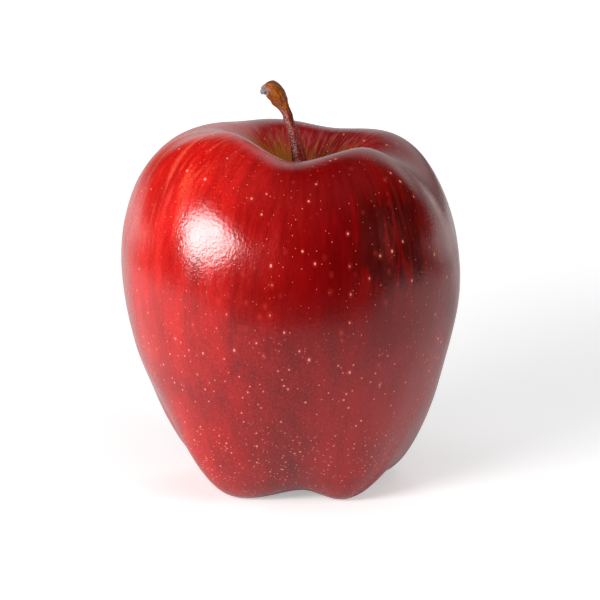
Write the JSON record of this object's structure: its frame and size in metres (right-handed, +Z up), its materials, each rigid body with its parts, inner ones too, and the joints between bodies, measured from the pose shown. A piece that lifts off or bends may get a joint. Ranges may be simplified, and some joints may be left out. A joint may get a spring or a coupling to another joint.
{
  "type": "apple",
  "caption": "Whole fresh red apple with a conical lobed body, a deep stem cavity, a bent woody stem and a dried calyx underneath; food that is eaten raw or cooked.",
  "frame": {"origin": "centre of the bounding box seen from above, on the ground plane that the toes rest on", "axes": "+Z up from calyx to stem; -Y is the front, the side with the low notch in the shoulder; the stem tip bends towards -X"},
  "size_m": [0.0762, 0.0762, 0.0914],
  "materials": {
    "apple_skin": "waxy smooth skin with soft gloss",
    "woody_stem": "satin bark, rough at the broken end",
    "dry_sepal": "dry and matt",
    "dry_stamen": "dry and matt"
  },
  "bodies": {
    "root": {"fruit": "apple_skin", "stem": "woody_stem", "sepal_1": "dry_sepal", "sepal_2": "dry_sepal", "sepal_3": "dry_sepal", "sepal_4": "dry_sepal", "sepal_5": "dry_sepal", "stamen_tuft": "dry_stamen"}
  },
  "joints": []
}
